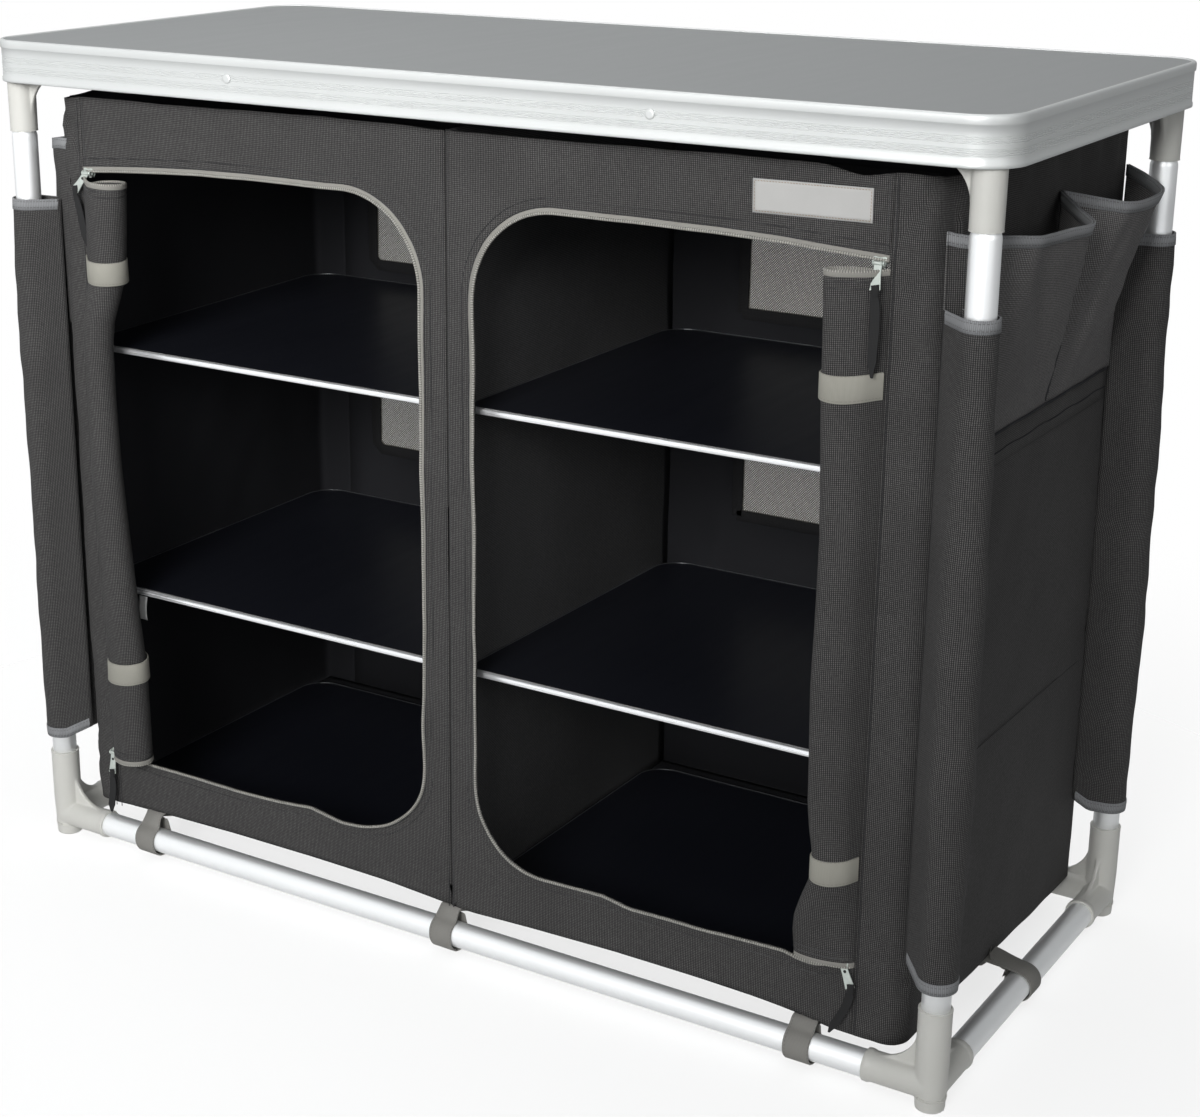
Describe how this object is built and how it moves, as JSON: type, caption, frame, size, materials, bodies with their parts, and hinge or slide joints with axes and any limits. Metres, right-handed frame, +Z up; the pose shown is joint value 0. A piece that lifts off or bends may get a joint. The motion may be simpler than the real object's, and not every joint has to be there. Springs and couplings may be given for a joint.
{
  "type": "fabric camp kitchen cupboard",
  "caption": "Free-standing camp kitchen cupboard: a framed worktop over a cloth body with shelves, zipped doors rolled aside, net windows and side pockets.",
  "frame": {"origin": "on the ground, under the middle of the worktop", "axes": "+X along the worktop to the right of someone facing the doors, +Y from the front to the back, +Z up"},
  "size_m": [1.05, 0.475, 0.847],
  "materials": {
    "tube": "satin anodised tube",
    "rim": "satin extruded section",
    "moulding": "warm grey moulded nylon, matt",
    "board": "mid grey coated board, satin",
    "steel": "zinc plated strip",
    "cloth": "charcoal woven polyester",
    "lining": "black woven polyester",
    "net": "beige grey net",
    "shelf": "black coated board with an aluminium front edge",
    "webbing": "beige grey webbing",
    "zip": "plated zinc casting",
    "ribbon": "black ribbon on a plated tab",
    "label": "bare pale patch"
  },
  "bodies": {
    "frame": {"leg_front_left": "tube", "lower_corner_front_left": "moulding", "upper_corner_front_left": "moulding", "leg_front_right": "tube", "lower_corner_front_right": "moulding", "upper_corner_front_right": "moulding", "leg_back_left": "tube", "lower_corner_back_left": "moulding", "upper_corner_back_left": "moulding", "leg_back_right": "tube", "lower_corner_back_right": "moulding", "upper_corner_back_right": "moulding", "lower_rail_front": "tube", "lower_rail_back": "tube", "lower_rail_left": "tube", "lower_rail_right": "tube", "upper_rail_front": "tube", "upper_rail_back": "tube", "upper_rail_left": "tube", "upper_rail_right": "tube", "body_front_panel": "cloth", "body_back_panel": "lining", "body_divider": "lining", "body_top_panel": "lining", "body_floor_panel": "lining", "body_side_left": "cloth", "shelf_left_middle": "shelf", "shelf_left_upper": "shelf", "floor_board_left": "shelf", "side_pockets_left": "cloth", "window_net_left": "net", "body_side_right": "cloth", "shelf_right_middle": "shelf", "shelf_right_upper": "shelf", "floor_board_right": "shelf", "side_pockets_right": "cloth", "window_net_right": "net", "rail_loop_front_left": "webbing", "rail_loop_front_middle": "webbing", "rail_loop_front_right": "webbing", "rail_loop_back_left": "webbing", "rail_loop_back_middle": "webbing", "rail_loop_back_right": "webbing", "rail_loop_left": "webbing", "rail_loop_right": "webbing", "label_patch": "label"},
    "worktop": {"tabletop_board": "board", "tabletop_rim": "rim", "board_stretcher_left": "steel", "board_stretcher_right": "steel"},
    "door_left": {"door_roll_left": "cloth", "zip_slider_upper_left": "zip", "zip_slider_lower_left": "zip"},
    "door_right": {"door_roll_right": "cloth", "zip_slider_upper_right": "zip", "zip_slider_lower_right": "zip"},
    "zip_pull_upper_left": {"zip_puller_upper_left": "ribbon"},
    "zip_pull_upper_right": {"zip_puller_upper_right": "ribbon"},
    "zip_pull_lower_left": {"zip_puller_lower_left": "ribbon"},
    "zip_pull_lower_right": {"zip_puller_lower_right": "ribbon"}
  },
  "joints": [
    {"name": "worktop_lift", "type": "slide", "parent": "frame", "child": "worktop", "axis": [0, 0, 1], "range_m": [0, 0.1]},
    {"name": "door_left_swing", "type": "hinge", "parent": "frame", "child": "door_left", "pos_m": [-0.4287, -0.207, 0.418], "axis": [0, 0, -1], "range_deg": [0, 90]},
    {"name": "door_right_swing", "type": "hinge", "parent": "frame", "child": "door_right", "pos_m": [0.4287, -0.207, 0.418], "axis": [0, 0, 1], "range_deg": [0, 90]},
    {"name": "zip_pull_upper_left_swing", "type": "hinge", "parent": "door_left", "child": "zip_pull_upper_left", "pos_m": [-0.421, -0.2124, 0.7275], "axis": [-1, 0, 0], "range_deg": [0, 160]},
    {"name": "zip_pull_upper_right_swing", "type": "hinge", "parent": "door_right", "child": "zip_pull_upper_right", "pos_m": [0.421, -0.2124, 0.7275], "axis": [-1, 0, 0], "range_deg": [0, 160]},
    {"name": "zip_pull_lower_left_swing", "type": "hinge", "parent": "door_left", "child": "zip_pull_lower_left", "pos_m": [-0.421, -0.2124, 0.1085], "axis": [-1, 0, 0], "range_deg": [0, 160]},
    {"name": "zip_pull_lower_right_swing", "type": "hinge", "parent": "door_right", "child": "zip_pull_lower_right", "pos_m": [0.421, -0.2124, 0.1085], "axis": [-1, 0, 0], "range_deg": [0, 160]}
  ]
}
